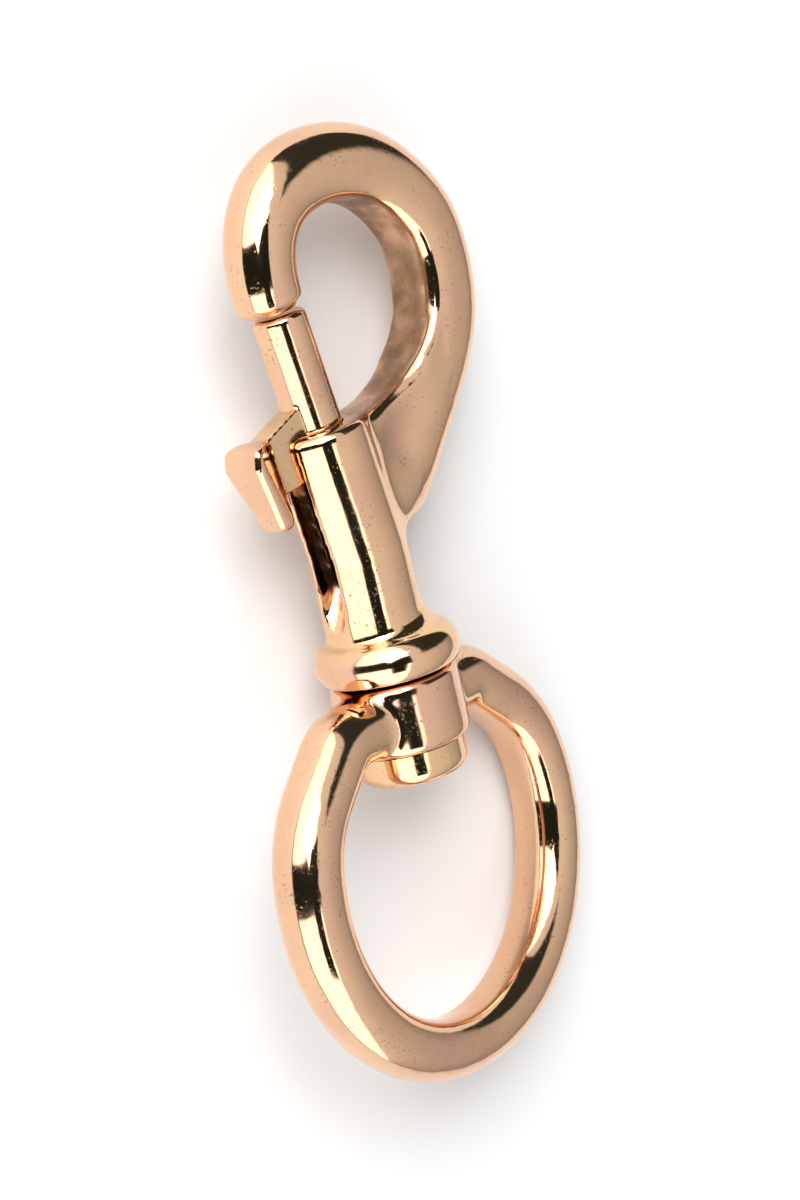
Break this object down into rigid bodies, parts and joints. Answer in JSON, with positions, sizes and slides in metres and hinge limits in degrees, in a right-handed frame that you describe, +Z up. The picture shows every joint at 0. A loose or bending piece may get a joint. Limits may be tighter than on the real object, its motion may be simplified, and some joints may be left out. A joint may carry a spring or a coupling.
{
  "type": "swivel bolt snap hook",
  "caption": "Cast bronze snap hook with a sprung bolt and thumb pad that closes the hook, on a round swivel eye held by a rivet.",
  "frame": {"origin": "centre of the eye's ring, on the swivel axis", "axes": "+Y along the swivel axis from the eye towards the hook, +X towards the hook's spine, +Z up as it lies on a table, where the plane of the hook leans 8.5 degrees down towards its spine"},
  "size_m": [0.0334, 0.0724, 0.015],
  "materials": {
    "cast_bronze": "polished cast bronze, warm pinkish gold, rougher and darker on inner walls",
    "bolt_bronze": "polished bronze",
    "rivet_bronze": "polished bronze, yellower",
    "spring_steel": "bright stainless spring wire"
  },
  "bodies": {
    "hook": {"hook_body": "cast_bronze", "swivel_rivet": "rivet_bronze", "bolt_spring": "spring_steel"},
    "bolt": {"bolt": "bolt_bronze"},
    "eye": {"swivel_eye": "cast_bronze"}
  },
  "joints": [
    {"name": "bolt_slide", "type": "slide", "parent": "hook", "child": "bolt", "axis": [0.1145, -0.9933, -0.0171], "range_m": [0, 0.0082], "stiffness_N_per_m": 250, "springref_m": -0.006, "deforming": ["bolt_spring"]},
    {"name": "eye_swivel", "type": "hinge", "parent": "hook", "child": "eye", "pos_m": [0, 0.0115, 0], "axis": [0, 1, 0], "continuous": true}
  ]
}
